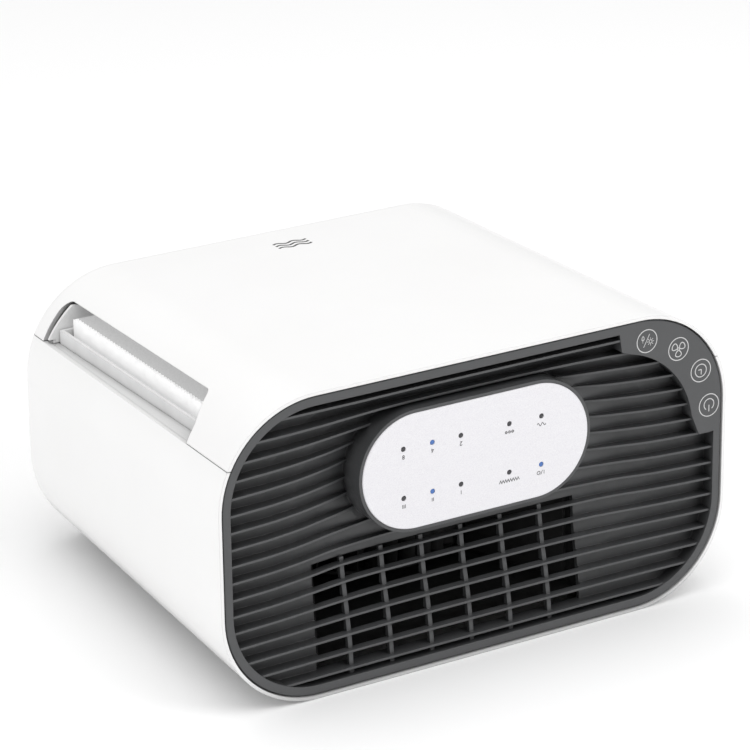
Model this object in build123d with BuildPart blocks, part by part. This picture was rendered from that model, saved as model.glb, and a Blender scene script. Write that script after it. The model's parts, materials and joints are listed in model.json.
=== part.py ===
"""Table-top air purifier, lying on its flat back with the outlet grille towards -Y.

Every piece is drawn in the moulding frame: the front rim of the housing lies in the XZ plane,
+Y runs into the body and +Z points at the lift-up filter cover. lay_down() then tilts each
finished piece, so that the drafted rear wall rests level, and writes its STEP file.
"""
import os
from math import atan2, cos, degrees, radians, sin

from build123d import *

os.makedirs("parts", exist_ok=True)

# ---------------------------------------------------------------- housing, driving dimensions
WIDTH = 300.0            # outside, at the front rim
HEIGHT = 164.0
DEPTH = 230.0            # front rim to the base
CORNER = 54.8            # large corner radius of the cross-section
FAR_WIDTH = 288.8        # the body narrows towards its base
FAR_HEIGHT = 152.6
FAR_LIFT = 3.9           # the rear wall takes most of the draft
BASE_ROUND = 8.0
WALL = 2.4
RIM = 1.7                # wall thickness at the front rim
PARTING = 50.9           # height of the cover's lower edge at the rim
PARTING_DROP = 1.8       # and how much lower it is at the base
COVER_GAP = 0.4
FIT = 0.6                # clearance round the front panel
REST_FLAT = 0.1          # planed off the rear wall, so that it rests on a true flat

# ---------------------------------------------------------------- front panel
PANEL_FACE = 0.6         # the panel sits this far behind the rim
PANEL_PLATE = 2.6
PANEL_CHAMFER = 0.5
SKIRT_DEPTH = 12.0
RECESS = (286.2, 149.7, 48.0)          # width, height, corner radius of the ribbed field
FLOOR_EDGE = 8.8         # depth of the field's floor at its edge
FLOOR_MIDDLE = 17.6      # and beside the display pedestal
FLOOR = 2.2
RIB_PITCH = 8.925
RIB_COUNT = 17
RIB = 1.2
DISPLAY_X, DISPLAY_Z = -2.5, 27.8
DISPLAY = (133.0, 61.6)                # stadium
BEZEL = 1.8
LED_X = (-45.6, -28.8, -12.1, 16.6, 35.8)
LED_Z = (41.0, 14.6)
LED = 2.7
WINDOW_LEFT, WINDOW_RIGHT = -92.5, 65.2
WINDOW_BOTTOM, WINDOW_TOP = -76.0, -14.9
WINDOW_ROWS = 7
BARS_X = (-74.7, -50.94, -27.18, -3.42, 20.34, 44.1)
BAR = 2.4
BAR_BEHIND = 2.7         # the upright bars stand this far behind the ribs' edges
LATTICE_DEPTH = 4.4      # of the ribs in the window, from their front edges
# The ribs' edges follow a dish: (depth, (left, right, bottom, top)) of its rounded level lines.
DISH = (
    (0.9, (-152.0, 156.0, -86.0, 73.0)),
    (3.0, (-121.0, 131.0, -64.0, 69.5)),
    (6.0, (-102.0, 108.0, -48.5, 65.0)),
    (10.0, (-86.5, 92.0, -33.5, 58.5)),
    (15.0, (-71.0, 75.5, -7.0, 55.0)),
    (18.6, (-62.0, 66.0, -2.0, 50.0)),
)
DISH_POWER = 3.5         # squareness of the level lines
FLOOR_DEPTHS = (9.2, 11.5, 15.0, 17.2) # of the field's floor, under the inner level lines
TOUCH_MARKS = ((99.9, 68.2), (119.7, 59.8), (134.1, 44.9), (139.8, 24.5))
SEAL_FRONT = 11.5        # the soft seal between the fan's duct and the panel
BOARD_FRONT = 9.6        # front of the control board, inside the display pedestal
LEAD_X, LEAD_Z = 30.0, 16.0            # where its lead leaves the pedestal

# ---------------------------------------------------------------- filter and its bay
BAY_HALF_WIDTH = 132.4
BAY_NEAR, BAY_FAR = 22.0, 206.0
BAY_FLOOR = 28.0
BAY_TOP = 56.3
SHEET = 2.2
FILTER_HALF_WIDTH = 126.0
FILTER_NEAR, FILTER_FAR = 28.0, 202.5
FILTER_BOTTOM, FILTER_TOP = 31.0, 63.3
PLEAT_PITCH = 3.0

# ---------------------------------------------------------------- fan
FAN_Y = 136.0
SCROLL_SIDE = 91.0       # inner wall of the scroll on its outlet side
SCROLL_START = 72.0
DUCT_RIGHT = 67.0
DUCT_FRONT = 23.0
SCROLL_BOTTOM = -67.5
SCROLL_TOP = -14.0
SCROLL_WALL = 2.0
INLET_R = 50.0
IMPELLER_R = 62.0
IMPELLER_BOTTOM, IMPELLER_TOP = -62.0, -20.0
BLADE_INNER_R = 51.5
BLADE_COUNT = 36
DOME_R = 31.0
DOME_TOP = -38.0
SHAFT_R = 3.0
RUNNING = 0.05           # radial clearance of the shaft in its bearings
MOTOR_R = 27.0
MOTOR_BOTTOM, MOTOR_TOP = -64.0, -42.0

POST_X = 120.0
POSTS_Y = (36.0, 196.0)
LUGS = ((-99.0, 50.0), (-99.0, 130.0), (84.0, 128.0), (79.0, 44.0))
PILOT_R = 1.3
SLOT_NEAR, SLOT_FAR = 43.0, 212.0
SLOT_TOP = 72.0
SLOT_INNER = 100.0       # the slots are cut from this half-width outwards
MAGNET_X, MAGNET_Y = 96.0, 24.4
MAGNET_BASE = 66.0
MAGNET_R = 3.4
LINER_OUT = 152.0        # the intake liners reach out to this half-width
LINER_Y = 207.6
LINER = 2.0
LINER_TOP = 76.0
FOOT_R = 8.0
FOOT = 3.0
FOOT_EDGE = 0.8
FEET = ((-104.0, -42.0), (104.0, -42.0), (-104.0, 30.0), (104.0, 30.0))
INLET_Y, INLET_Z = 172.0, -14.0
SOCKET_FACE = 145.6

TILT = degrees(atan2(HEIGHT / 2 + FAR_LIFT - FAR_HEIGHT / 2, DEPTH))
FRONT_DROP = HEIGHT / 2 * cos(radians(TILT)) - REST_FLAT
FRONT_REACH = HEIGHT / 2 * sin(radians(TILT))
BACK_REACH = (DEPTH + FOOT) * cos(radians(TILT)) + (30.0 + FOOT_R - FOOT_EDGE) * sin(radians(TILT))
LAID = Location((0, (FRONT_REACH - BACK_REACH) / 2, FRONT_DROP)) * Location((0, 0, 0), (-TILT, 0, 0))

PARTING_PLANE = Plane(origin=(0, 0, PARTING), x_dir=(1, 0, 0), z_dir=(0, PARTING_DROP / DEPTH, 1))
REST_UP = Vector(0, -sin(radians(TILT)), cos(radians(TILT)))
REST_PLANE = Plane(origin=Vector(0, 0, -HEIGHT / 2) + REST_UP * REST_FLAT, x_dir=(1, 0, 0), z_dir=REST_UP)


def across(depth):
    """Plane through the body at this depth, seen from the front: its x is X and its y is Z."""
    return Plane(origin=(0, depth, 0), x_dir=(1, 0, 0), z_dir=(0, -1, 0))


def lay_down(piece, label):
    """Turn a finished piece with the body, name it and write it."""
    piece.part = LAID * piece.part
    piece.part.label = label
    export_step(piece.part, f"parts/{label}.step")


def body_section(depth, inset):
    """Outline of the body at this depth, moved inwards by inset."""
    share = depth / DEPTH
    with BuildSketch(across(depth)) as section:
        with Locations((0, FAR_LIFT * share)):
            RectangleRounded(
                WIDTH - (WIDTH - FAR_WIDTH) * share - 2 * inset,
                HEIGHT - (HEIGHT - FAR_HEIGHT) * share - 2 * inset,
                CORNER - inset,
            )
    return section.sketch


def outer_body():
    """The whole body as one solid, rounded at its base."""
    loft([body_section(0, 0), body_section(DEPTH, 0)], ruled=True)
    fillet(faces().sort_by(Axis.Y)[-1].edges(), BASE_ROUND)


def inner_body():
    """The space inside the walls."""
    loft([body_section(0, RIM), body_section(DEPTH - WALL, WALL)], ruled=True)
    fillet(faces().sort_by(Axis.Y)[-1].edges(), BASE_ROUND - WALL)


def block(x, y, z, mode=Mode.ADD):
    """Box between two corners, each axis given as (low, high)."""
    with Locations(((x[0] + x[1]) / 2, (y[0] + y[1]) / 2, (z[0] + z[1]) / 2)):
        Box(x[1] - x[0], y[1] - y[0], z[1] - z[0], mode=mode)


def post(x, y, radius, low, high, mode=Mode.ADD):
    """Upright cylinder between two heights."""
    with BuildSketch(Plane.XY.offset(low)) as foot:
        with Locations((x, y)):
            Circle(radius)
    extrude(foot.sketch, amount=high - low, mode=mode)


def slab(x, z, width, height, radius, front, back, mode=Mode.ADD):
    """Rounded block facing the front, between two depths."""
    with BuildSketch(across(back)) as outline:
        with Locations((x, z)):
            RectangleRounded(width, height, radius)
    extrude(outline.sketch, amount=back - front, mode=mode)


# ================================================================ housing
with BuildPart() as rear_cavity:
    inner_body()
    with BuildSketch(PARTING_PLANE.offset(-0.4)):
        for side in (-1, 1):
            with Locations((side * (BAY_HALF_WIDTH + 20.3), 118)):
                Rectangle(40, 188)
    extrude(amount=-SHEET, mode=Mode.SUBTRACT)
    for side in (-1, 1):
        for post_y in POSTS_Y:
            post(side * POST_X, post_y, 5.0, -HEIGHT / 2, BAY_FLOOR, Mode.SUBTRACT)
    for lug_x, lug_y in LUGS:
        post(lug_x, lug_y, 4.5, -HEIGHT / 2, SCROLL_BOTTOM, Mode.SUBTRACT)

with BuildPart() as rear_shell:
    outer_body()
    add(rear_cavity.part, mode=Mode.SUBTRACT)
    split(bisect_by=PARTING_PLANE, keep=Keep.BOTTOM)
    split(bisect_by=REST_PLANE, keep=Keep.TOP)
    for side in (-1, 1):
        for post_y in POSTS_Y:
            post(side * POST_X, post_y, PILOT_R, BAY_FLOOR - 14, BAY_FLOOR, Mode.SUBTRACT)
    for lug_x, lug_y in LUGS:
        post(lug_x, lug_y, PILOT_R, SCROLL_BOTTOM - 6, SCROLL_BOTTOM, Mode.SUBTRACT)
    block((130, 160), (INLET_Y - 11, INLET_Y + 11), (INLET_Z - 8, INLET_Z + 8), Mode.SUBTRACT)
lay_down(rear_shell, "rear_shell")

# The cover swings up about the lower edge of its base wall; its two tongues hook inside the shell.
with BuildPart() as cover_cavity:
    inner_body()
    for side in (-1, 1):
        block((side * MAGNET_X - 5, side * MAGNET_X + 5), (MAGNET_Y - 4.3, MAGNET_Y + 4.3),
              (MAGNET_BASE, HEIGHT / 2), Mode.SUBTRACT)
        block((side * 48 - 0.8, side * 48 + 0.8), (60, DEPTH), (74, HEIGHT / 2), Mode.SUBTRACT)

with BuildPart() as front_cover:
    outer_body()
    add(cover_cavity.part, mode=Mode.SUBTRACT)
    split(bisect_by=PARTING_PLANE.offset(COVER_GAP), keep=Keep.TOP)
    with BuildSketch(Plane.YZ.offset(-WIDTH)) as slot_outline:
        with BuildLine():
            FilletPolyline(
                (SLOT_NEAR, PARTING - 8),
                (SLOT_NEAR + 1.5, PARTING + 9),
                (SLOT_NEAR + 10, SLOT_TOP),
                (SLOT_FAR + 1.5, SLOT_TOP - 2.4),
                (SLOT_FAR, PARTING - 8),
                radius=(3, 5, 6),
            )
            Line((SLOT_FAR, PARTING - 8), (SLOT_NEAR, PARTING - 8))
        make_face()
    extrude(amount=WIDTH - SLOT_INNER, mode=Mode.SUBTRACT)
    with BuildSketch(Plane.YZ.offset(SLOT_INNER)):
        add(slot_outline.sketch_local)
    extrude(amount=WIDTH - SLOT_INNER, mode=Mode.SUBTRACT)
    for side in (-1, 1):
        block((side * 60 - 8, side * 60 + 8), (DEPTH - WALL - 2.5, DEPTH - WALL - 0.5),
              (PARTING - 7, PARTING + 12))
        block((side * 60 - 8, side * 60 + 8), (DEPTH - WALL - 2.5, DEPTH - WALL + 0.5),
              (PARTING + 2, PARTING + 12))
    for side in (-1, 1):
        post(side * MAGNET_X, MAGNET_Y, MAGNET_R, MAGNET_BASE, MAGNET_BASE + 3.2, Mode.SUBTRACT)
lay_down(front_cover, "front_cover")

with BuildPart() as cover_magnets:
    for side in (-1, 1):
        post(side * MAGNET_X, MAGNET_Y, MAGNET_R, MAGNET_BASE + 0.2, MAGNET_BASE + 3.2)
lay_down(cover_magnets, "cover_magnets")

# The space inside the cover that its neighbours may use.
with BuildPart() as cover_clearance:
    loft([body_section(0, RIM + 1.2), body_section(DEPTH - WALL - 1.2, WALL + 1.2)], ruled=True)

with BuildPart() as board_clearance:
    loft([body_section(0, RIM), body_section(DEPTH - WALL, WALL)], ruled=True)

# Walls that guide the intake air from each slot's base end to the filter bay.
with BuildPart() as liner_clearance:
    loft([body_section(0, 0.4), body_section(DEPTH, 0.4)], ruled=True)
    block((-WIDTH, WIDTH), (SLOT_NEAR, SLOT_FAR - 0.5), (PARTING + 0.2, SLOT_TOP - 4), Mode.INTERSECT)
    add(cover_clearance.part)

with BuildPart() as intake_liners:
    with BuildSketch(Plane.XY.offset(PARTING - 1.6)):
        for side in (-1, 1):
            with BuildLine():
                liner_straight = Line((side * 100, LINER_Y), (side * 126, LINER_Y))
                TangentArc(liner_straight @ 1, (side * LINER_OUT, SLOT_FAR - 1.7), tangent=(side, 0))
            trace(line_width=LINER)
    extrude(amount=LINER_TOP - PARTING + 1.6)
    add(liner_clearance.part, mode=Mode.INTERSECT)
lay_down(intake_liners, "intake_liners")

with BuildPart() as rubber_feet:
    for foot_x, foot_z in FEET:
        slab(foot_x, foot_z, 2 * FOOT_R, 2 * FOOT_R, FOOT_R - 0.01, DEPTH, DEPTH + FOOT)
    chamfer(faces().group_by(Axis.Y)[-1].edges(), FOOT_EDGE)
lay_down(rubber_feet, "rubber_feet")


# ================================================================ front panel
def recess_outline(depth, grow):
    """Outline of the ribbed field, which leaves a land for the touch marks in one corner."""
    with BuildSketch(across(depth)) as outline:
        RectangleRounded(RECESS[0] + 2 * grow, RECESS[1] + 2 * grow, RECESS[2] + grow)
        with BuildSketch(mode=Mode.SUBTRACT):
            with BuildLine():
                Polyline((83 + grow, 95), (83 + grow, 75), (84.6 + grow, 65 + grow),
                         (90.5 + grow, 62.8 + grow))
                ThreePointArc((90.5 + grow, 62.8 + grow), (115.5 + grow, 48.5 + grow),
                              (129 + grow, 21 + grow))
                Polyline((129 + grow, 21 + grow), (133.8 + grow, 9.4 + grow), (170, 9.4 + grow),
                         (170, 95), (83 + grow, 95))
            make_face()
    return outline.sketch


def field_section(depth, box):
    """Rounded outline between box = (left, right, bottom, top), for the dished surfaces."""
    left, right, bottom, top = box
    width, height = right - left, top - bottom
    with BuildSketch(across(depth)) as section:
        with Locations(((left + right) / 2, (bottom + top) / 2)):
            RectangleRounded(width, height, min(RECESS[2], 0.48 * height))
    return section.sketch


def field_box(grow=0.0):
    return (-RECESS[0] / 2 - grow, RECESS[0] / 2 + grow, -RECESS[1] / 2 - grow, RECESS[1] / 2 + grow)


def pedestal_box(grow=0.0):
    half_x, half_z = DISPLAY[0] / 2 + BEZEL + grow, DISPLAY[1] / 2 + BEZEL + grow
    return (DISPLAY_X - half_x, DISPLAY_X + half_x, DISPLAY_Z - half_z, DISPLAY_Z + half_z)


def floor_surface(deeper):
    """Space in front of the dished floor, or of its back when it is one wall thickness deeper."""
    depths = (FLOOR_EDGE, *FLOOR_DEPTHS, FLOOR_MIDDLE)
    boxes = [field_box(), *(box for depth, box in DISH[1:-1]), pedestal_box()]
    sections = []
    for depth, (left, right, bottom, top) in zip(depths, boxes):
        sections.append(field_section(
            depth + deeper, (left - deeper, right + deeper, bottom - deeper, top + deeper)))
    extrude(recess_outline(FLOOR_EDGE + deeper, deeper), amount=FLOOR_EDGE + deeper)
    loft(sections, ruled=True)
    reach = FLOOR_MIDDLE + deeper + 2
    extrude(recess_outline(reach, deeper), amount=reach, mode=Mode.INTERSECT)


with BuildPart() as field_air:
    floor_surface(0)

with BuildPart() as field_back:
    floor_surface(FLOOR)


def outline_reach(x, z, box):
    """Size of the level line through this point: 1 on the given box's line, less inside it."""
    left, right, bottom, top = box
    share_x = abs(2 * x - left - right) / (right - left)
    share_z = abs(2 * z - bottom - top) / (top - bottom)
    return (share_x**DISH_POWER + share_z**DISH_POWER) ** (1 / DISH_POWER)


def dish_depth(x, z):
    """Depth of the dish that the ribs' front edges follow."""
    for (shallow, outer), (deep, inner) in zip(DISH, DISH[1:]):
        short = outline_reach(x, z, inner) - 1
        if short > 0:
            gained = max(0, 1 - outline_reach(x, z, outer))
            return shallow + (deep - shallow) * gained / (gained + short)
    return DISH[-1][0]


def edge_blade(plane, crest, thickness):
    """Upright wall on a plane, from a curved front crest back to the floor; y is the depth."""
    with BuildSketch(plane) as wall:
        with BuildLine():
            Spline(*crest)
            Polyline(crest[-1], (crest[-1][0], FLOOR_MIDDLE + 6), (crest[0][0], FLOOR_MIDDLE + 6), crest[0])
        make_face()
    extrude(wall.sketch, amount=thickness)


with BuildPart() as ribs:
    for index in range(RIB_COUNT):
        level = (index - (RIB_COUNT - 1) / 2) * RIB_PITCH
        crest = [(x, max(PANEL_FACE, dish_depth(x, level))) for x in range(-150, 151, 10)]
        edge_blade(Plane.XY.offset(level - RIB / 2), crest, RIB)
    for bar_x in BARS_X:
        upright = Plane(origin=(bar_x + BAR / 2, 0, 0), x_dir=(0, 0, 1), z_dir=(-1, 0, 0))
        crest = [(z, dish_depth(bar_x, z) + BAR_BEHIND)
                 for z in (WINDOW_BOTTOM, -66, -56, -46, -36, -26, WINDOW_TOP)]
        edge_blade(upright, crest, BAR)
    add(field_air.part, mode=Mode.INTERSECT)

# Space behind the window's lattice: one step for each row and the rib above it.
WINDOW_SPAN = [WINDOW_LEFT + (WINDOW_RIGHT - WINDOW_LEFT) * step / 12 for step in range(13)]
with BuildPart() as window_air:
    for row in range(WINDOW_ROWS):
        low = (row - (RIB_COUNT - 1) / 2) * RIB_PITCH + RIB / 2
        high = min(low + RIB_PITCH, WINDOW_TOP)
        crest = [(x, dish_depth(x, high) + LATTICE_DEPTH) for x in WINDOW_SPAN]
        edge_blade(Plane.XY.offset(low), crest, high - low)

PANEL_W, PANEL_H = WIDTH - 2 * (RIM + FIT), HEIGHT - 2 * (RIM + FIT)
with BuildPart() as panel_plate:
    slab(0, 0, PANEL_W, PANEL_H, CORNER - RIM - FIT, PANEL_FACE, PANEL_FACE + PANEL_PLATE)
    chamfer(faces().sort_by(Axis.Y)[0].edges(), PANEL_CHAMFER)

with BuildPart() as grille_panel:
    add(field_back.part)
    block((-WIDTH, WIDTH), (-1, PANEL_FACE), (-HEIGHT, HEIGHT), Mode.SUBTRACT)
    add(panel_plate.part)
    with BuildSketch(across(SKIRT_DEPTH)):
        RectangleRounded(PANEL_W - 2, PANEL_H - 2, CORNER - RIM - FIT - 1)
        RectangleRounded(PANEL_W - 5, PANEL_H - 5, CORNER - RIM - FIT - 2.5, mode=Mode.SUBTRACT)
    extrude(amount=SKIRT_DEPTH - PANEL_FACE - PANEL_PLATE)
    add(field_air.part, mode=Mode.SUBTRACT)
    slab(DISPLAY_X, DISPLAY_Z, DISPLAY[0] + 2 * BEZEL, DISPLAY[1] + 2 * BEZEL,
         DISPLAY[1] / 2 + BEZEL - 0.01, PANEL_FACE + 0.6, FLOOR_MIDDLE + FLOOR)
    add(ribs.part)
    slab(DISPLAY_X, DISPLAY_Z, DISPLAY[0] + 0.3, DISPLAY[1] + 0.3, DISPLAY[1] / 2 + 0.14,
         -1, PANEL_FACE + 2.2, Mode.SUBTRACT)
    slab(DISPLAY_X, DISPLAY_Z, DISPLAY[0] - 3, DISPLAY[1] - 3, DISPLAY[1] / 2 - 1.51,
         PANEL_FACE + 2, FLOOR_MIDDLE, Mode.SUBTRACT)
    slab(LEAD_X, LEAD_Z, 9, 9, 4.49, FLOOR_MIDDLE - 1, FLOOR_MIDDLE + FLOOR + 1, Mode.SUBTRACT)
    lefts = [WINDOW_LEFT] + [bar_x + BAR / 2 for bar_x in BARS_X]
    rights = [bar_x - BAR / 2 for bar_x in BARS_X] + [WINDOW_RIGHT]
    for left, right in zip(lefts, rights):
        for row in range(WINDOW_ROWS):
            low = (row - (RIB_COUNT - 1) / 2) * RIB_PITCH + RIB / 2
            high = min(low + RIB_PITCH - RIB, WINDOW_TOP)
            block((left, right), (5, FLOOR_MIDDLE + 5), (low, high), Mode.SUBTRACT)
    add(window_air.part, mode=Mode.SUBTRACT)
lay_down(grille_panel, "grille_panel")

with BuildPart() as display_panel:
    slab(DISPLAY_X, DISPLAY_Z, DISPLAY[0], DISPLAY[1], DISPLAY[1] / 2 - 0.01, PANEL_FACE, PANEL_FACE + 2)
    chamfer(faces().sort_by(Axis.Y)[0].edges(), 0.4)
    for led_x in LED_X:
        for led_z in LED_Z:
            slab(led_x, led_z, LED + 0.1, LED + 0.1, LED / 2 + 0.04, 0, 4, Mode.SUBTRACT)
lay_down(display_panel, "display_panel")

with BuildPart() as led_light_pipes:
    for led_x in LED_X:
        for led_z in LED_Z:
            slab(led_x, led_z, LED, LED, LED / 2 - 0.01, PANEL_FACE + 0.1, BOARD_FRONT - 0.6)
lay_down(led_light_pipes, "led_light_pipes")

# ================================================================ electronics in the front
BOARD = 1.6
with BuildPart() as control_board:
    slab(DISPLAY_X, DISPLAY_Z, DISPLAY[0] - 12, DISPLAY[1] - 12, DISPLAY[1] / 2 - 6.01,
         BOARD_FRONT, BOARD_FRONT + BOARD)
lay_down(control_board, "control_board")

with BuildPart() as control_board_parts:
    for led_x in LED_X:
        for led_z in LED_Z:
            block((led_x - 1, led_x + 1), (BOARD_FRONT - 0.6, BOARD_FRONT), (led_z - 0.8, led_z + 0.8))
    block((-12, 2), (BOARD_FRONT + BOARD, BOARD_FRONT + BOARD + 1.8), (21, 35))
    block((LEAD_X - 6, LEAD_X + 6), (BOARD_FRONT + BOARD, BOARD_FRONT + BOARD + 5), (36, 43))
    block((-44, -38), (BOARD_FRONT + BOARD, BOARD_FRONT + BOARD + 2.5), (20, 30))
lay_down(control_board_parts, "control_board_parts")

# The touch marks are sensed through the land: a bent board carries one round pad behind each.
TOUCH_ARC_X, TOUCH_ARC_Z = WIDTH / 2 - CORNER, HEIGHT / 2 - CORNER
TOUCH_FRONT = PANEL_FACE + PANEL_PLATE + 0.2
with BuildPart() as touch_board:
    with BuildSketch(across(TOUCH_FRONT + 2)):
        with BuildLine():
            CenterArc((TOUCH_ARC_X, TOUCH_ARC_Z), 43.5, -8, 94)
        trace(line_width=9)
    extrude(amount=1)
    for touch_x, touch_z in TOUCH_MARKS:
        slab(touch_x, touch_z, 8.6, 8.6, 4.29, TOUCH_FRONT, TOUCH_FRONT + 1)
lay_down(touch_board, "touch_board")


# ================================================================ filter bay
with BuildPart() as filter_bay:
    block((-BAY_HALF_WIDTH, BAY_HALF_WIDTH), (BAY_NEAR, BAY_FAR), (BAY_FLOOR, BAY_TOP))
    block((2 - BAY_HALF_WIDTH, BAY_HALF_WIDTH - 2), (BAY_NEAR + 2, BAY_FAR - 2),
          (BAY_FLOOR + SHEET, BAY_TOP + 1), Mode.SUBTRACT)
    with BuildSketch(Plane.XY.offset(BAY_FLOOR - 1)):
        with Locations((0, (BAY_NEAR + BAY_FAR) / 2)):
            with GridLocations(30, 27, 7, 5):
                RectangleRounded(25, 22, 2)
    extrude(amount=SHEET + 2, mode=Mode.SUBTRACT)
    for side in (-1, 1):
        for post_y in POSTS_Y:
            with Locations((side * POST_X, post_y, BAY_FLOOR + SHEET)):
                CounterSinkHole(1.6, 3.2)
lay_down(filter_bay, "filter_bay")

with BuildPart() as bay_screws:
    for side in (-1, 1):
        for post_y in POSTS_Y:
            with Locations(Location((side * POST_X, post_y, BAY_FLOOR + SHEET - 0.1), (180, 0, 0))):
                Cone(3.0, 1.2, 1.8, align=(Align.CENTER, Align.CENTER, Align.MIN))
                Cylinder(1.25, 13, align=(Align.CENTER, Align.CENTER, Align.MIN))
lay_down(bay_screws, "bay_screws")

FRAME = 1.6
FRAME_TOP = FILTER_TOP - 1.4
PLEAT_COUNT = int((FILTER_FAR - FILTER_NEAR - 2 * FRAME) / PLEAT_PITCH)
PLEATS_START = (FILTER_NEAR + FILTER_FAR - PLEAT_COUNT * PLEAT_PITCH) / 2


def pleat_line(low, high):
    """Zig-zag across the filter: points (y, z), one tooth for each pleat."""
    return [(PLEATS_START + fold * PLEAT_PITCH / 2, high if fold % 2 else low)
            for fold in range(2 * PLEAT_COUNT + 1)]


# The frame's side walls end in teeth that follow the pleats.
with BuildPart() as filter_frame:
    with BuildSketch(Plane.YZ.offset(-FILTER_HALF_WIDTH)):
        with BuildLine():
            Polyline((FILTER_NEAR, FILTER_BOTTOM), (FILTER_NEAR, FRAME_TOP),
                     *pleat_line(FRAME_TOP, FILTER_TOP),
                     (FILTER_FAR, FRAME_TOP), (FILTER_FAR, FILTER_BOTTOM), close=True)
        make_face()
    extrude(amount=2 * FILTER_HALF_WIDTH)
    block((FRAME - FILTER_HALF_WIDTH, FILTER_HALF_WIDTH - FRAME), (FILTER_NEAR + FRAME, FILTER_FAR - FRAME),
          (FILTER_BOTTOM - 1, FILTER_TOP + 1), Mode.SUBTRACT)
lay_down(filter_frame, "filter_frame")

CARBON_TOP = FILTER_BOTTOM + 6
with BuildPart() as carbon_sheet:
    block((FRAME - FILTER_HALF_WIDTH, FILTER_HALF_WIDTH - FRAME), (FILTER_NEAR + FRAME, FILTER_FAR - FRAME),
          (FILTER_BOTTOM + 0.4, CARBON_TOP))
lay_down(carbon_sheet, "carbon_sheet")

# One sheet folded up and down: its folds run across the filter, level with the frame's teeth.
SHEET_DROP = 6.0         # height between the two faces of the folded sheet, along Z
with BuildPart() as filter_pleats:
    with BuildSketch(Plane.YZ.offset(FRAME - FILTER_HALF_WIDTH)):
        with BuildLine():
            folds = pleat_line(CARBON_TOP + 0.2 + SHEET_DROP, FILTER_TOP)
            under = [(y, z - SHEET_DROP) for y, z in reversed(folds)]
            Polyline(*folds, *under, close=True)
        make_face()
    extrude(amount=2 * (FILTER_HALF_WIDTH - FRAME))
lay_down(filter_pleats, "filter_pleats")

with BuildPart() as filter_seal:
    block((-FILTER_HALF_WIDTH, FILTER_HALF_WIDTH), (FILTER_NEAR, FILTER_FAR),
          (BAY_FLOOR + SHEET + 0.1, FILTER_BOTTOM))
    block((6 - FILTER_HALF_WIDTH, FILTER_HALF_WIDTH - 6), (FILTER_NEAR + 6, FILTER_FAR - 6),
          (BAY_FLOOR, FILTER_BOTTOM + 1), Mode.SUBTRACT)
lay_down(filter_seal, "filter_seal")

with BuildPart() as pull_tabs:
    for side in (-1, 1):
        with BuildSketch(across(FILTER_NEAR)):
            with Locations((side * 60, (FRAME_TOP + 52) / 2 + 1.5)):
                SlotOverall(26, FRAME_TOP - 50, rotation=0)
        extrude(amount=1)
lay_down(pull_tabs, "pull_tabs")

KEEPER_TOP = MAGNET_BASE - 0.6
with BuildPart() as magnet_keepers:
    for side in (-1, 1):
        x = side * MAGNET_X
        block((x - 7, x + 7), (BAY_NEAR - 1.5, BAY_NEAR), (36, KEEPER_TOP))
        block((x - 7, x + 7), (BAY_NEAR - 1.5, FILTER_NEAR - 0.6), (KEEPER_TOP - 1, KEEPER_TOP))
lay_down(magnet_keepers, "magnet_keepers")

with BuildPart() as reed_sensor:
    block((106, 120), (BAY_NEAR - 3.4, BAY_NEAR), (40, 50))
lay_down(reed_sensor, "reed_sensor")


# ================================================================ fan
def scroll_radius(angle):
    """The scroll opens evenly from the tongue on the right to the outlet side on the left."""
    return SCROLL_START + (SCROLL_SIDE - SCROLL_START) * angle / 180


def scroll_outline(level, grow):
    """Outline of the scroll and its duct, grown outwards by a wall thickness."""
    spiral = []
    for angle in range(180, -51, -23):
        reach = scroll_radius(angle) + grow
        spiral.append((reach * cos(radians(angle)), FAN_Y + reach * sin(radians(angle))))
    with BuildSketch(Plane.XY.offset(level)) as outline:
        with BuildLine():
            left, right = -SCROLL_SIDE - grow, DUCT_RIGHT + grow
            Line((left, DUCT_FRONT), (left, FAN_Y))
            Spline(*spiral, tangents=((0, 1), (-1, -0.8)))
            Polyline(spiral[-1], (right, DUCT_FRONT), (left, DUCT_FRONT))
        make_face()
    return outline.sketch


def scroll_lugs(level, thickness):
    for lug_x, lug_y in LUGS:
        inner = -SCROLL_SIDE - 1 if lug_x < 0 else 56
        block(tuple(sorted((lug_x, inner))), (lug_y - 4.5, lug_y + 4.5), (level, level + thickness))
        post(lug_x, lug_y, 4.5, level, level + thickness)
        post(lug_x, lug_y, 1.6, level - 1, level + thickness + 1, Mode.SUBTRACT)


with BuildPart() as fan_scroll:
    extrude(scroll_outline(SCROLL_BOTTOM, SCROLL_WALL), amount=SCROLL_TOP - SCROLL_BOTTOM)
    scroll_lugs(SCROLL_BOTTOM, SCROLL_WALL)
    extrude(scroll_outline(SCROLL_BOTTOM + SCROLL_WALL, 0), amount=SCROLL_TOP - SCROLL_BOTTOM,
            mode=Mode.SUBTRACT)
    block((-SCROLL_SIDE, DUCT_RIGHT), (DUCT_FRONT - 1, DUCT_FRONT + 3),
          (SCROLL_BOTTOM + SCROLL_WALL, SCROLL_TOP), Mode.SUBTRACT)
    post(0, FAN_Y, MOTOR_R + 9, SCROLL_BOTTOM - 1, SCROLL_TOP, Mode.SUBTRACT)
lay_down(fan_scroll, "fan_scroll")

with BuildPart() as fan_inlet_plate:
    extrude(scroll_outline(SCROLL_TOP, SCROLL_WALL), amount=SCROLL_WALL)
    with BuildSketch(Plane.XZ.offset(-FAN_Y)) as bellmouth:
        with BuildLine():
            Polyline((INLET_R + 2, SCROLL_TOP + 1), (INLET_R + 2, SCROLL_TOP - 3.5),
                     (INLET_R, SCROLL_TOP - 3.5), (INLET_R, SCROLL_TOP + 1), close=True)
        make_face()
    post(0, FAN_Y, INLET_R, SCROLL_TOP - 1, SCROLL_TOP + 3, Mode.SUBTRACT)
    revolve(bellmouth.sketch, axis=Axis((0, FAN_Y, 0), (0, 0, 1)))
lay_down(fan_inlet_plate, "fan_inlet_plate")

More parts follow.
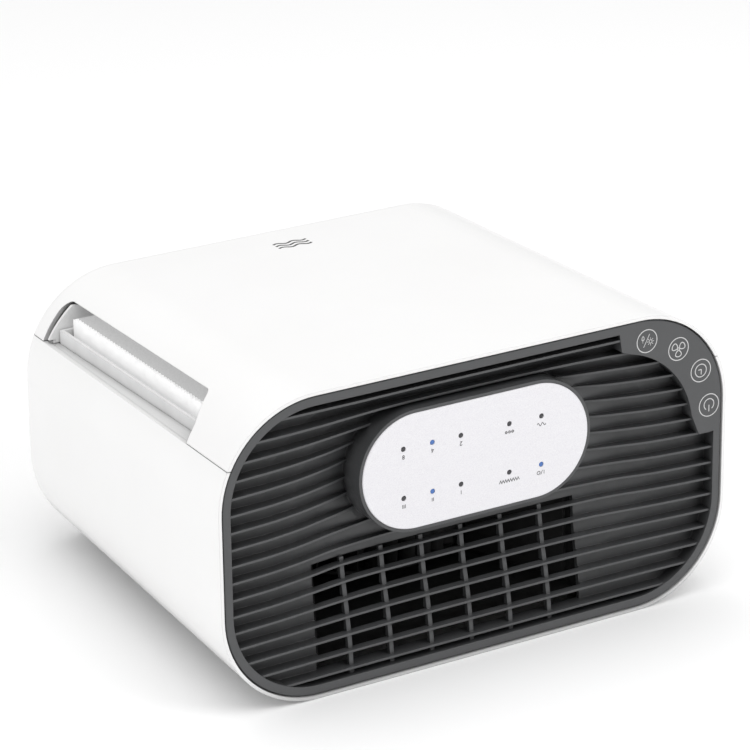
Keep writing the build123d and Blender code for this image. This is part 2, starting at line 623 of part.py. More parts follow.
with BuildPart() as fan_screws:
    for lug_x, lug_y in LUGS:
        post(lug_x, lug_y, 3.0, SCROLL_BOTTOM + SCROLL_WALL, SCROLL_BOTTOM + SCROLL_WALL + 2)
        post(lug_x, lug_y, 1.25, SCROLL_BOTTOM - 5, SCROLL_BOTTOM + SCROLL_WALL)
lay_down(fan_screws, "fan_screws")

with BuildPart() as motor_plate:
    post(0, FAN_Y, MOTOR_R + 8.8, SCROLL_BOTTOM, SCROLL_BOTTOM + SCROLL_WALL)
    for spoke in range(3):
        angle = radians(90 + 120 * spoke)
        post(31.5 * cos(angle), FAN_Y + 31.5 * sin(angle), 1.6, SCROLL_BOTTOM - 1,
             SCROLL_BOTTOM + 4, Mode.SUBTRACT)
lay_down(motor_plate, "motor_plate")

with BuildPart() as motor_screws:
    for spoke in range(3):
        angle = radians(90 + 120 * spoke)
        x, y = 31.5 * cos(angle), FAN_Y + 31.5 * sin(angle)
        post(x, y, 2.8, SCROLL_BOTTOM - 1.6, SCROLL_BOTTOM)
        post(x, y, 1.5, SCROLL_BOTTOM, SCROLL_BOTTOM + 3.2)
lay_down(motor_screws, "motor_screws")

BEARING_R = 7.0
with BuildPart() as fan_motor:
    post(0, FAN_Y, MOTOR_R, MOTOR_BOTTOM, MOTOR_TOP)
    chamfer(faces().group_by(Axis.Z)[-1].edges(), 1.5)
    post(0, FAN_Y, MOTOR_R + 8.0, MOTOR_BOTTOM - 1.5, MOTOR_BOTTOM)
    post(0, FAN_Y, BEARING_R, MOTOR_TOP - 15, MOTOR_TOP + 1, Mode.SUBTRACT)
    for spoke in range(3):
        angle = radians(90 + 120 * spoke)
        post(31.5 * cos(angle), FAN_Y + 31.5 * sin(angle), 1.6, MOTOR_BOTTOM - 2,
             MOTOR_BOTTOM + 1, Mode.SUBTRACT)
lay_down(fan_motor, "fan_motor")

with BuildPart() as motor_bearings:
    for low in (MOTOR_TOP - 13, MOTOR_TOP - 6):
        post(0, FAN_Y, BEARING_R, low, low + 4.5)
        post(0, FAN_Y, SHAFT_R + RUNNING, low, low + 4.5, Mode.SUBTRACT)
lay_down(motor_bearings, "motor_bearings")

HUB_TOP = DOME_TOP + 8
with BuildPart() as motor_shaft:
    post(0, FAN_Y, SHAFT_R, MOTOR_TOP - 14, HUB_TOP + 5)
lay_down(motor_shaft, "motor_shaft")

with BuildPart() as shaft_nut:
    with BuildSketch(Plane.XY.offset(HUB_TOP)):
        with Locations((0, FAN_Y)):
            RegularPolygon(5.5, 6)
            Circle(SHAFT_R, mode=Mode.SUBTRACT)
    extrude(amount=3.5)
lay_down(shaft_nut, "shaft_nut")

with BuildSketch() as blade:
    with BuildLine():
        ThreePointArc((BLADE_INNER_R, 0), (57.2, 1.2), (IMPELLER_R - 0.3, 5.2))
    trace(line_width=1.0)

# Squirrel-cage impeller: a back plate that domes over the motor, blades curved forwards, a rim.
with BuildPart() as fan_impeller:
    with BuildSketch(Plane.XZ.offset(-FAN_Y)) as back_plate:
        with BuildLine():
            Polyline((SHAFT_R, HUB_TOP), (8, HUB_TOP), (8, DOME_TOP), (28, DOME_TOP),
                     (DOME_R + 2, DOME_TOP - 7), (40, IMPELLER_BOTTOM + 1.6),
                     (IMPELLER_R, IMPELLER_BOTTOM + 1.6), (IMPELLER_R, IMPELLER_BOTTOM),
                     (38.5, IMPELLER_BOTTOM), (DOME_R, DOME_TOP - 8), (27, DOME_TOP - 2),
                     (SHAFT_R, DOME_TOP - 2), close=True)
        make_face()
    revolve(back_plate.sketch, axis=Axis((0, FAN_Y, 0), (0, 0, 1)))
    with BuildSketch(Plane.XY.offset(IMPELLER_BOTTOM)) as blades:
        with Locations((0, FAN_Y)):
            with PolarLocations(0, BLADE_COUNT):
                add(blade.sketch)
    extrude(blades.sketch, amount=IMPELLER_TOP - IMPELLER_BOTTOM)
    with BuildSketch(Plane.XY.offset(IMPELLER_TOP - 2)) as rim:
        with Locations((0, FAN_Y)):
            Circle(IMPELLER_R)
            Circle(IMPELLER_R - 5, mode=Mode.SUBTRACT)
    extrude(rim.sketch, amount=2)
lay_down(fan_impeller, "fan_impeller")

with BuildPart() as outlet_seal:
    middle_z, middle_x = (SCROLL_BOTTOM + SCROLL_TOP) / 2, (DUCT_RIGHT - SCROLL_SIDE) / 2
    seal_w, seal_h = DUCT_RIGHT + SCROLL_SIDE, SCROLL_TOP - SCROLL_BOTTOM
    slab(middle_x, middle_z, seal_w + 3, seal_h - 1, 2, SEAL_FRONT, DUCT_FRONT)
    slab(middle_x, middle_z, seal_w - 2, seal_h - 5, 1, SEAL_FRONT - 1, DUCT_FRONT + 1, Mode.SUBTRACT)
    with Locations((0, 0.3, 0)):
        add(field_back.part, mode=Mode.SUBTRACT)
lay_down(outlet_seal, "outlet_seal")


# ================================================================ air treatment above the fan
LAMP_Z = 9.0
PLATE_TOP = SCROLL_TOP + SCROLL_WALL
with BuildPart() as uvc_lamp:
    with Locations(Location((0, FAN_Y, LAMP_Z), (0, 90, 0))):
        Cylinder(4, 124)
lay_down(uvc_lamp, "uvc_lamp")

with BuildPart() as lamp_caps:
    for side in (-1, 1):
        with Locations(Location((side * 67, FAN_Y, LAMP_Z), (0, 90, 0))):
            Cylinder(5.2, 10)
lay_down(lamp_caps, "lamp_caps")

with BuildPart() as lamp_holders:
    for side in (-1, 1):
        x = side * 67
        block((x - 3, x + 3), (FAN_Y - 8, FAN_Y + 8), (PLATE_TOP, LAMP_Z + 3))
    for side in (-1, 1):
        with Locations(Location((side * 67, FAN_Y, LAMP_Z), (0, 90, 0))):
            Cylinder(5.2, 12, mode=Mode.SUBTRACT)
        block((side * 67 - 6, side * 67 + 6), (FAN_Y - 4.4, FAN_Y + 4.4), (LAMP_Z, LAMP_Z + 6), Mode.SUBTRACT)
lay_down(lamp_holders, "lamp_holders")

with BuildPart() as ioniser:
    block((-80, -46), (46, 62), (PLATE_TOP, PLATE_TOP + 13))
    fillet(edges().filter_by(Axis.Z), 2)
lay_down(ioniser, "ioniser")


# ================================================================ mains side
PSU_X, PSU_Y, PSU_Z = 107.0, 118.0, -55.0
with BuildPart() as power_board:
    block((PSU_X - 15, PSU_X + 15), (PSU_Y - 42, PSU_Y + 42), (PSU_Z, PSU_Z + BOARD))
lay_down(power_board, "power_board")

with BuildPart() as power_board_parts:
    board_top = PSU_Z + BOARD
    block((PSU_X - 12, PSU_X + 12), (PSU_Y - 16, PSU_Y + 6), (board_top, board_top + 20))
    post(PSU_X - 6, PSU_Y + 20, 6.5, board_top, board_top + 22)
    post(PSU_X + 9, PSU_Y + 20, 5, board_top, board_top + 16)
    block((PSU_X - 14, PSU_X + 14), (PSU_Y - 32, PSU_Y - 29), (board_top, board_top + 18))
    block((PSU_X - 8, PSU_X + 8), (PSU_Y + 34, PSU_Y + 41), (board_top, board_top + 9))
    block((PSU_X - 7, PSU_X + 7), (PSU_Y - 41, PSU_Y - 35), (board_top, board_top + 8))
lay_down(power_board_parts, "power_board_parts")

with BuildPart() as board_pillars:
    for x in (PSU_X - 11, PSU_X + 11):
        for y in (PSU_Y - 38, PSU_Y + 38):
            post(x, y, 2.6, -HEIGHT / 2, PSU_Z)
    add(board_clearance.part, mode=Mode.INTERSECT)
lay_down(board_pillars, "board_pillars")

SOCKET_DEPTH = 12.0


def pin_rods(mode=Mode.ADD):
    """The inlet's two contact pins."""
    with BuildSketch(Plane.YZ.offset(SOCKET_FACE - 19)) as ends:
        with Locations((INLET_Y, INLET_Z)):
            with GridLocations(7.0, 0, 2, 1):
                Circle(1.2)
    extrude(ends.sketch, amount=16, mode=mode)


with BuildPart() as power_inlet:
    block((SOCKET_FACE - 15, SOCKET_FACE), (INLET_Y - 10.8, INLET_Y + 10.8), (INLET_Z - 7.8, INLET_Z + 7.8))
    with BuildSketch(Plane.YZ.offset(SOCKET_FACE)):
        with Locations((INLET_Y, INLET_Z)):
            SlotOverall(14.4, 8.2)
    extrude(amount=-SOCKET_DEPTH, mode=Mode.SUBTRACT)
    pin_rods(Mode.SUBTRACT)
lay_down(power_inlet, "power_inlet")

with BuildPart() as inlet_pins:
    pin_rods()
lay_down(inlet_pins, "inlet_pins")


def lead(route, bends, radius):
    """Insulated lead along straight runs joined by arcs."""
    with BuildLine() as path:
        FilletPolyline(*route, radius=bends)
    with BuildSketch(Plane(origin=path.line @ 0, z_dir=path.line % 0)) as end:
        Circle(radius)
    sweep(end.sketch, path=path.line)


with BuildPart() as mains_lead:
    back, plug_y, plug_z = SOCKET_FACE - 15, PSU_Y + 41, PSU_Z + BOARD + 4.5
    lead(((back, INLET_Y, INLET_Z), (PSU_X, INLET_Y, INLET_Z), (PSU_X, INLET_Y, plug_z),
          (PSU_X, plug_y, plug_z)), (10, 5.5), 1.5)
lay_down(mains_lead, "mains_lead")

with BuildPart() as motor_lead:
    run_z = SCROLL_BOTTOM - 3.4
    lead(((20, FAN_Y, SCROLL_BOTTOM), (20, FAN_Y, run_z), (PSU_X - 7, FAN_Y, run_z),
          (PSU_X - 7, FAN_Y, PSU_Z)), (1.5, 6), 1.2)
lay_down(motor_lead, "motor_lead")

with BuildPart() as control_lead:
    plug_y, over_z = BOARD_FRONT + BOARD + 3.3, LEAD_Z
    turn_y = PSU_Y - 38
    lead(((LEAD_X, plug_y, 36), (LEAD_X, plug_y, over_z), (LEAD_X, turn_y, over_z),
          (PSU_X, turn_y, over_z), (PSU_X, turn_y, PSU_Z + BOARD + 8)), (9, 25, 25), 1.3)
lay_down(control_lead, "control_lead")
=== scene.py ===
"""Table-top air purifier lying on its back: finishes, printed marks, studio light and camera."""
import json
from math import cos, pi, sin

import bmesh
import bpy
from mathutils import Matrix, Vector


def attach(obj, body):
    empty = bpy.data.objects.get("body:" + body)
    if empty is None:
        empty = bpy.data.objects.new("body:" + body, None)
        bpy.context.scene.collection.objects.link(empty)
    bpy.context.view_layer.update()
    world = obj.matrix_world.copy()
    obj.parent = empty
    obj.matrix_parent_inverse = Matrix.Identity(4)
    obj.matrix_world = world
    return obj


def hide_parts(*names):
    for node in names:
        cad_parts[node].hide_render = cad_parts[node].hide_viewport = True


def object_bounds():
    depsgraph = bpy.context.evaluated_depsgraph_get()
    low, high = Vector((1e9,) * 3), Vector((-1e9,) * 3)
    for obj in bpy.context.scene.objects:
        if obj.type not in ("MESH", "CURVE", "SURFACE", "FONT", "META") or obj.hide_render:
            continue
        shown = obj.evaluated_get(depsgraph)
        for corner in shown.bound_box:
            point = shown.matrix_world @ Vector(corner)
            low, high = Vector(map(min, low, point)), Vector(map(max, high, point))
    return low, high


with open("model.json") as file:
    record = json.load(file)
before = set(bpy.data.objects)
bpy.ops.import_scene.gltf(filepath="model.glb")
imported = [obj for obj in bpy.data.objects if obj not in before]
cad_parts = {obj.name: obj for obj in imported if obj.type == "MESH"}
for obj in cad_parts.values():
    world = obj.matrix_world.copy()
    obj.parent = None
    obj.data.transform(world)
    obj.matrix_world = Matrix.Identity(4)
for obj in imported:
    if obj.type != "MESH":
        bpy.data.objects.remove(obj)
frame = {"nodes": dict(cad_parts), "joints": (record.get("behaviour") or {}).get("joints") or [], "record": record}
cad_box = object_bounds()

MM = 0.001

# ---------------------------------------------------------------- the housing's own directions
joints = {joint["name"]: joint for joint in frame["joints"]}
DEPTH = 230.0                                             # from the front rim to the hinge
HINGE_UP = 49.1                                           # from the middle plane to the hinge
UP = Vector(joints["fan_spin"]["axis"]).normalized()      # from the table side to the filter cover
INTO = Vector((0, UP.z, -UP.y))                           # from the grille to the base
HINGE = Vector(joints["cover_open"]["pos_m"])
RIM_CENTRE = HINGE - INTO * DEPTH * MM - UP * HINGE_UP * MM
FRONT = Matrix((
    (MM, INTO.x * MM, UP.x * MM, RIM_CENTRE.x),
    (0, INTO.y * MM, UP.y * MM, RIM_CENTRE.y),
    (0, INTO.z * MM, UP.z * MM, RIM_CENTRE.z),
    (0, 0, 0, 1),
))                                                        # from millimetres in the front rim's frame


# ---------------------------------------------------------------- camera
CAMERA_PLACE = (-881.3, -1390.1, 716.6)     # in the front rim's frame
CAMERA_TURN = (0.53277, 0.3736, -0.013247)  # yaw, pitch and roll in radians
FOCAL_LENGTH = 171.03
SENSOR_WIDTH = 36


def make_camera():
    yaw, pitch, roll = CAMERA_TURN
    eye = FRONT @ Vector(CAMERA_PLACE)
    ahead = Vector((sin(yaw) * cos(pitch), cos(yaw) * cos(pitch), -sin(pitch)))
    right = Vector((cos(yaw), -sin(yaw), 0))
    above = right.cross(ahead)
    right, above = right * cos(roll) + above * sin(roll), above * cos(roll) - right * sin(roll)
    turn = FRONT.to_3x3() * (1 / MM)
    axes = Matrix([turn @ right, turn @ above, turn @ -ahead]).transposed()
    camera = bpy.data.objects.new("camera", bpy.data.cameras.new("camera"))
    camera.matrix_world = Matrix.Translation(eye) @ axes.to_4x4()
    camera.data.sensor_width = SENSOR_WIDTH
    camera.data.lens = FOCAL_LENGTH
    camera.data.clip_end = 60
    bpy.context.scene.collection.objects.link(camera)
    bpy.context.scene.camera = camera


make_camera()


# ---------------------------------------------------------------- materials
class Finish:
    """A principled material whose nodes are added step by step."""

    def __init__(self, name, colour, rough, metal=0.0, specular=0.5):
        self.material = bpy.data.materials.new(name)
        self.material.use_nodes = True
        self.nodes = self.material.node_tree.nodes
        self.links = self.material.node_tree.links
        self.shader = self.nodes["Principled BSDF"]
        self.colour = (*colour, 1)
        self.shader.inputs["Base Color"].default_value = self.colour
        self.shader.inputs["Roughness"].default_value = rough
        self.shader.inputs["Metallic"].default_value = metal
        self.shader.inputs["Specular IOR Level"].default_value = specular
        self.place = self.nodes.new("ShaderNodeTexCoord").outputs["Object"]
        self.normal = None

    def noise(self, size, detail=4.0, stretch=None):
        """Noise whose lumps are about size millimetres across."""
        texture = self.nodes.new("ShaderNodeTexNoise")
        texture.inputs["Scale"].default_value = 1 / (size * MM)
        texture.inputs["Detail"].default_value = detail
        if stretch:
            mapping = self.nodes.new("ShaderNodeMapping")
            mapping.inputs["Scale"].default_value = stretch
            self.links.new(self.place, mapping.inputs["Vector"])
            self.links.new(mapping.outputs["Vector"], texture.inputs["Vector"])
        else:
            self.links.new(self.place, texture.inputs["Vector"])
        return texture.outputs["Fac"]

    def cells(self, size):
        texture = self.nodes.new("ShaderNodeTexVoronoi")
        texture.inputs["Scale"].default_value = 1 / (size * MM)
        self.links.new(self.place, texture.inputs["Vector"])
        return texture.outputs["Color"]

    def openness(self, reach):
        """1 on open faces, less in hollows narrower than reach millimetres; the finishes use it to paint shade and
        glow.
        """
        node = self.nodes.new("ShaderNodeAmbientOcclusion")
        node.samples = 16
        node.inputs["Distance"].default_value = reach * MM
        return node.outputs["AO"]

    def sides(self, half_width):
        """1 farther than half_width millimetres from the middle plane, else 0."""
        place = self.nodes.new("ShaderNodeNewGeometry")
        split = self.nodes.new("ShaderNodeSeparateXYZ")
        distance = self.nodes.new("ShaderNodeMath")
        distance.operation = "ABSOLUTE"
        self.links.new(place.outputs["Position"], split.inputs["Vector"])
        self.links.new(split.outputs["X"], distance.inputs[0])
        return self.ramp(distance.outputs["Value"], 0, 1, (half_width - 0.05) * MM, half_width * MM)

    def ramp(self, source, low, high, start=0.3, end=0.7):
        """Maps the source between two values."""
        node = self.nodes.new("ShaderNodeMapRange")
        node.inputs["From Min"].default_value = start
        node.inputs["From Max"].default_value = end
        node.inputs["To Min"].default_value = low
        node.inputs["To Max"].default_value = high
        self.links.new(source, node.inputs["Value"])
        return node.outputs["Result"]

    def tint(self, source, other, low=0.0, high=1.0, start=0.3, end=0.7):
        """Mixes another colour in where the source is high."""
        mix = self.nodes.new("ShaderNodeMix")
        mix.data_type = "RGBA"
        linked = self.shader.inputs["Base Color"].links
        if linked:
            self.links.new(linked[0].from_socket, mix.inputs[6])
        else:
            mix.inputs[6].default_value = self.colour
        mix.inputs[7].default_value = (*other, 1)
        self.links.new(self.ramp(source, low, high, start, end), mix.inputs[0])
        self.links.new(mix.outputs[2], self.shader.inputs["Base Color"])
        return self

    def roughness(self, source, low, high, start=0.3, end=0.7):
        self.links.new(self.ramp(source, low, high, start, end), self.shader.inputs["Roughness"])
        return self

    def soften(self, radius):
        """Rounds edges in the shading."""
        bevel = self.nodes.new("ShaderNodeBevel")
        bevel.samples = 4
        bevel.inputs["Radius"].default_value = radius * MM
        self.normal = bevel.outputs["Normal"]
        self.links.new(self.normal, self.shader.inputs["Normal"])
        return self

    def bump(self, source, depth, strength=1.0):
        """Raises the surface by depth millimetres where the source is high."""
        node = self.nodes.new("ShaderNodeBump")
        node.inputs["Distance"].default_value = depth * MM
        node.inputs["Strength"].default_value = strength
        self.links.new(source, node.inputs["Height"])
        if self.normal:
            self.links.new(self.normal, node.inputs["Normal"])
        self.normal = node.outputs["Normal"]
        self.links.new(self.normal, self.shader.inputs["Normal"])
        return self


def grey(value, warm=0.0):
    return (value * (1 + warm), value, value * (1 - warm))


def shell_finish():
    finish = Finish("shell_gloss_white", grey(0.86, 0.002), 0.34)
    finish.shader.inputs["Coat Weight"].default_value = 0.25
    finish.shader.inputs["Coat Roughness"].default_value = 0.12
    finish.tint(finish.noise(60, 3), grey(0.845, 0.004))
    # painted shade: grey mixed into the white in hollows, seams, the slot's sill and along the floor, where shade
    # falls
    finish.tint(finish.openness(34), grey(0.48), 1, 0, 0.55, 0.94)
    finish.roughness(finish.noise(9, 4), 0.31, 0.38)
    finish.soften(0.6)
    finish.bump(finish.noise(18, 2), 0.012, 0.25)
    return finish.material


def panel_finish():
    finish = Finish("panel_dark_grey", (0.06, 0.0615, 0.064), 0.38, specular=0.6)
    finish.tint(finish.noise(22, 4), (0.066, 0.0675, 0.07))
    finish.roughness(finish.noise(3, 5), 0.32, 0.46)
    finish.tint(finish.noise(0.25, 2), grey(0.09), 0, 0.5, 0.55, 0.8)
    # painted shade: near-black mixed in deep between the ribs and in other hollows, where shade falls
    finish.tint(finish.openness(9), (0.02, 0.0205, 0.0215), 1, 0, 0.3, 0.85)
    finish.soften(0.5)
    finish.bump(finish.noise(0.28, 2), 0.012, 0.4)
    return finish.material


def display_finish():
    finish = Finish("display_silver_sparkle", (0.8, 0.79, 0.82), 0.36, metal=0.08)
    finish.tint(finish.cells(0.22), grey(0.95), 0, 0.8, 0.6, 1.0)
    finish.tint(finish.cells(0.3), (0.66, 0.64, 0.68), 0, 0.6, 0.6, 1.0)
    finish.roughness(finish.noise(0.4, 3), 0.3, 0.48)
    finish.soften(0.3)
    finish.bump(finish.noise(0.3, 2), 0.008, 0.35)
    return finish.material


def moulded(name, value, rough, warm=0.0, grain=0.5):
    """Plain moulded plastic with a fine grain and faint flow marks."""
    finish = Finish(name, grey(value, warm), rough)
    finish.tint(finish.noise(14, 4), grey(value * 0.9, warm * 1.3), 0, 0.8)
    finish.roughness(finish.noise(4, 5), rough - 0.06, rough + 0.08)
    finish.soften(0.3)
    finish.bump(finish.noise(grain, 3), 0.02, 0.4)
    return finish.material


def metal(name, colour, rough, stretch=None):
    finish = Finish(name, colour, rough, metal=1.0)
    finish.tint(finish.noise(6, 5), tuple(0.75 * part for part in colour), 0, 0.6)
    finish.roughness(finish.noise(0.5, 4, stretch), rough - 0.08, rough + 0.14)
    finish.soften(0.2)
    finish.bump(finish.noise(0.3, 3, stretch), 0.006, 0.4)
    return finish.material


def soft(name, value, grain, rough=0.85, depth=0.1, glow=0.0):
    """Foam, felt, rubber or paper; a glow, if given, is painted light: emission on the open faces that makes paper
    look lit.
    """
    finish = Finish(name, grey(value), rough, specular=0.3)
    finish.tint(finish.noise(grain * 3, 6), grey(value * 0.82), 0, 0.9)
    finish.roughness(finish.noise(grain, 3), rough - 0.08, min(1.0, rough + 0.1))
    finish.bump(finish.noise(grain, 5), depth, 0.7)
    if glow:
        # painted glow: emission on open faces, fading out in hollows
        finish.shader.inputs["Emission Color"].default_value = (1, 1, 1, 1)
        painted_glow = finish.ramp(finish.openness(4), 0, glow, 0.35, 0.75)
        finish.links.new(painted_glow, finish.shader.inputs["Emission Strength"])
    return finish.material


def pleat_finish():
    """Filter paper with a painted glow that makes it look lit, and painted shade without glow along its cut sides.
    """
    finish = Finish("filter_paper_white", grey(0.5), 0.9, specular=0.3)
    finish.tint(finish.noise(1.05, 6), grey(0.43), 0, 0.9)
    # painted shade: a darker band along the cut sides of the paper, by the frame
    side_shade = finish.sides(124.3)
    finish.tint(side_shade, grey(0.28), 0, 1, 0, 1)
    finish.roughness(finish.noise(0.35, 3), 0.82, 1.0)
    finish.bump(finish.noise(0.35, 5), 0.06, 0.7)
    # painted glow: emission of 0.28 over the paper, off in the shaded side band
    finish.shader.inputs["Emission Color"].default_value = (1, 1, 1, 1)
    finish.links.new(finish.ramp(side_shade, 0.28, 0, 0, 1), finish.shader.inputs["Emission Strength"])
    return finish.material


def glassy(name, colour, rough):
    finish = Finish(name, colour, rough)
    finish.shader.inputs["Transmission Weight"].default_value = 0.9
    finish.shader.inputs["IOR"].default_value = 1.46
    finish.roughness(finish.noise(3, 4), rough, rough + 0.08)
    return finish.material


def board_finish():
    finish = Finish("circuit_board_green", (0.02, 0.13, 0.06), 0.35)
    finish.tint(finish.cells(3.2), (0.03, 0.2, 0.09), 0, 1, 0.45, 0.55)
    finish.tint(finish.noise(0.8, 2), (0.5, 0.38, 0.14), 0, 0.8, 0.66, 0.68)
    finish.bump(finish.cells(3.2), 0.03, 0.3)
    return finish.material


def lens_finish(name, colour, glow):
    finish = Finish(name, colour, 0.2)
    finish.tint(finish.noise(1.0, 3), tuple(0.7 * part for part in colour), 0, 0.6)
    finish.bump(finish.noise(0.3, 2), 0.01, 0.3)
    if glow:
        finish.shader.inputs["Emission Color"].default_value = (*colour, 1)
        finish.shader.inputs["Emission Strength"].default_value = glow
    return finish.material


FINISHES = {
    "shell_white": shell_finish(),
    "panel_grey": panel_finish(),
    "display_silver": display_finish(),
    "light_pipe": lens_finish("light_pipe_clear", (0.2, 0.24, 0.4), 0),
    "board_green": board_finish(),
    "component_black": moulded("component_black", 0.03, 0.45, grain=0.3),
    "inner_white": moulded("inner_plastic_white", 0.74, 0.42),
    "inner_grey": moulded("inner_plastic_grey", 0.018, 0.5),
    # the filter edge gets a painted glow of 0.2 on its open faces
    "filter_white": soft("filter_edge_white", 0.92, 0.8, 0.85, 0.03, 0.2),
    "filter_paper": pleat_finish(),
    "carbon_felt": soft("carbon_felt_black", 0.02, 0.6, 0.95, 0.3),
    "seal_foam": soft("seal_foam_black", 0.012, 0.5, 0.95, 0.2),
    "tab_film": moulded("pull_tab_grey", 0.3, 0.35),
    "foot_rubber": soft("foot_rubber_grey", 0.06, 0.4, 0.75, 0.03),
    "screw_steel": metal("screw_zinc", (0.6, 0.59, 0.56), 0.3),
    "magnet_nickel": metal("magnet_nickel", (0.68, 0.67, 0.64), 0.2),
    "motor_can": metal("motor_can_steel", (0.42, 0.42, 0.42), 0.35, (1, 1, 12)),
    "shaft_steel": metal("shaft_ground_steel", (0.6, 0.6, 0.6), 0.2, (1, 1, 20)),
    "lamp_glass": glassy("lamp_quartz", (0.95, 0.96, 0.98), 0.05),
    "lamp_cap_metal": metal("lamp_cap_aluminium", (0.75, 0.75, 0.75), 0.3, (12, 1, 1)),
    "inlet_black": moulded("inlet_black", 0.02, 0.4, grain=0.4),
    "pin_brass": metal("pin_brass", (0.72, 0.5, 0.2), 0.25, (12, 1, 1)),
    "lead_black": moulded("lead_insulation_black", 0.025, 0.55, grain=0.6),
}
for part in frame["record"]["subparts"]:
    node = frame["nodes"][part["node"]]
    node.data.materials.clear()
    node.data.materials.append(FINISHES[part["material_slot"]])


# ---------------------------------------------------------------- printed marks and lenses
PANEL_FACE = 0.6         # the panel's face lies this far behind the rim
COVER_TOP, COVER_SLOPE = 82.0, 1.8 / DEPTH


def add_piece(name, mesh_maker, material, body, smooth=False):
    """Builds a mesh from millimetres in the front rim's frame and lets it ride on a body."""
    shape = bmesh.new()
    mesh_maker(shape)
    bmesh.ops.recalc_face_normals(shape, faces=shape.faces)
    mesh = bpy.data.meshes.new(name)
    shape.to_mesh(mesh)
    shape.free()
    mesh.transform(FRONT)
    piece = bpy.data.objects.new(name, mesh)
    bpy.context.scene.collection.objects.link(piece)
    mesh.materials.append(material)
    for face in mesh.polygons:
        face.use_smooth = smooth
    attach(piece, body)
    return piece


PRINT = 0.05             # thickness of the printed lines


def on_front(x, z, lift):
    """A spot on the touch land or the display, which share one plane."""
    return (x, PANEL_FACE - lift, z)


def on_cover(x, y, lift):
    """A spot on the flat of the cover, which slopes towards the base."""
    return (x, y, COVER_TOP - COVER_SLOPE * y + lift)


def stroke(shape, points, width, spot_on=on_front, closed=False):
    """A printed line of even width along flat points."""
    points = [Vector(point) for point in points]
    count = len(points)
    rings = []
    for index, point in enumerate(points):
        before = points[index - 1] if closed or index else point
        after = points[(index + 1) % count] if closed or index < count - 1 else point
        first, second = (point - before), (after - point)
        first = first.normalized() if first.length else second.normalized()
        second = second.normalized() if second.length else first
        along = (first + second).normalized()
        across = Vector((-along.y, along.x))
        reach = width / 2 / max(0.4, abs(across.dot(Vector((-first.y, first.x)))))
        ring = []
        for side, lift in ((1, PRINT), (-1, PRINT), (-1, 0), (1, 0)):
            spot = point + across * reach * side
            ring.append(shape.verts.new(spot_on(spot.x, spot.y, lift)))
        rings.append(ring)
    for index in range(count if closed else count - 1):
        near, far = rings[index], rings[(index + 1) % count]
        for k in range(4):
            shape.faces.new((near[k], near[(k + 1) % 4], far[(k + 1) % 4], far[k]))
    if not closed:
        shape.faces.new(rings[0])
        shape.faces.new(rings[-1])


def arc(centre, radius, start=0.0, end=360.0, count=32):
    """Points on an arc in degrees; a full circle leaves out its last point."""
    whole = end - start >= 360
    steps = count if whole else count - 1
    return [
        (centre[0] + radius * cos((start + (end - start) * k / steps) * pi / 180),
         centre[1] + radius * sin((start + (end - start) * k / steps) * pi / 180))
        for k in range(count)
    ]


def turned(points, centre, degrees=180.0):
    """The same points turned about a centre: the marks are read from the base end."""
    c, s = cos(degrees * pi / 180), sin(degrees * pi / 180)
    return [(centre[0] + c * x - s * z, centre[1] + s * x + c * z) for x, z in points]


TOUCH_MARKS = ((99.9, 68.2), (119.7, 59.8), (134.1, 44.9), (139.8, 24.5))
RING_RADIUS = 6.15


def touch_marks(shape):
    """Four rings with generic symbols: light, fan, timer and power."""
    line, fine = 0.5, 0.36
    for centre in TOUCH_MARKS:
        stroke(shape, arc(centre, RING_RADIUS, count=64), line, closed=True)
    light, fan, timer, power = TOUCH_MARKS

    def draw(points, centre, width=line, closed=False, turn=180.0):
        stroke(shape, turned(points, centre, turn), width, closed=closed)

    # a leaf and a sun, with a slash between them
    leaf = [(-2.6, 0.2), (-3.2, 1.2), (-3.1, 2.3), (-2.5, 3.0), (-1.9, 2.3), (-1.8, 1.2)]
    draw([(-2.1, -3.2), (1.6, 3.6)], light, fine, turn=0)
    draw(leaf, light, fine, True, 0)
    draw([(-2.5, 1.4), (-2.6, -0.7)], light, fine, turn=0)
    sun = (2.2, -0.6)
    draw(arc(sun, 0.95, count=24), light, fine, True, 0)
    for k in range(8):
        angle = k * pi / 4
        ray = [(sun[0] + r * cos(angle), sun[1] + r * sin(angle)) for r in (1.45, 2.15)]
        draw(ray, light, fine, turn=0)
    # three petals round a hub
    for k in range(3):
        loop = []
        for j in range(28):
            t = j / 28 * 2 * pi
            x, z = 2.55 + 1.7 * cos(t), 1.75 * sin(t) * (1.0 + 0.3 * cos(t))
            angle = pi / 2 + k * 2 * pi / 3
            loop.append((x * cos(angle) - z * sin(angle), x * sin(angle) + z * cos(angle)))
        draw(loop, fan, closed=True)
    draw(arc((0, 0), 0.65, count=16), fan, closed=True)
    # a dial with two hands
    draw(arc((0, 0), 3.5, count=40), timer, closed=True)
    draw([(0.3, -2.3), (0.3, 0.5), (-1.6, 0.5)], timer, turn=0)
    # an open ring with a bar
    draw(arc((0, 0.4), 3.1, -55, 235, 40), power, turn=0)
    draw([(0, -3.6), (0, 0.1)], power, turn=0)


add_piece("touch_symbols", touch_marks, moulded("print_light_grey", 0.68, 0.5), "housing")

LED_X = (-45.6, -28.8, -12.1, 16.6, 35.8)
LED_Z = (41.0, 14.6)
LABEL_DROP = 4.4
DIGITS = {
    2: [(-0.6, 0.5), (-0.45, 0.85), (0, 1.0), (0.45, 0.85), (0.55, 0.45), (0.3, 0.0), (-0.6, -1.0),
        (0.6, -1.0)],
    4: [(0.3, -1.0), (0.3, 1.0), (-0.65, -0.4), (0.65, -0.4)],
}


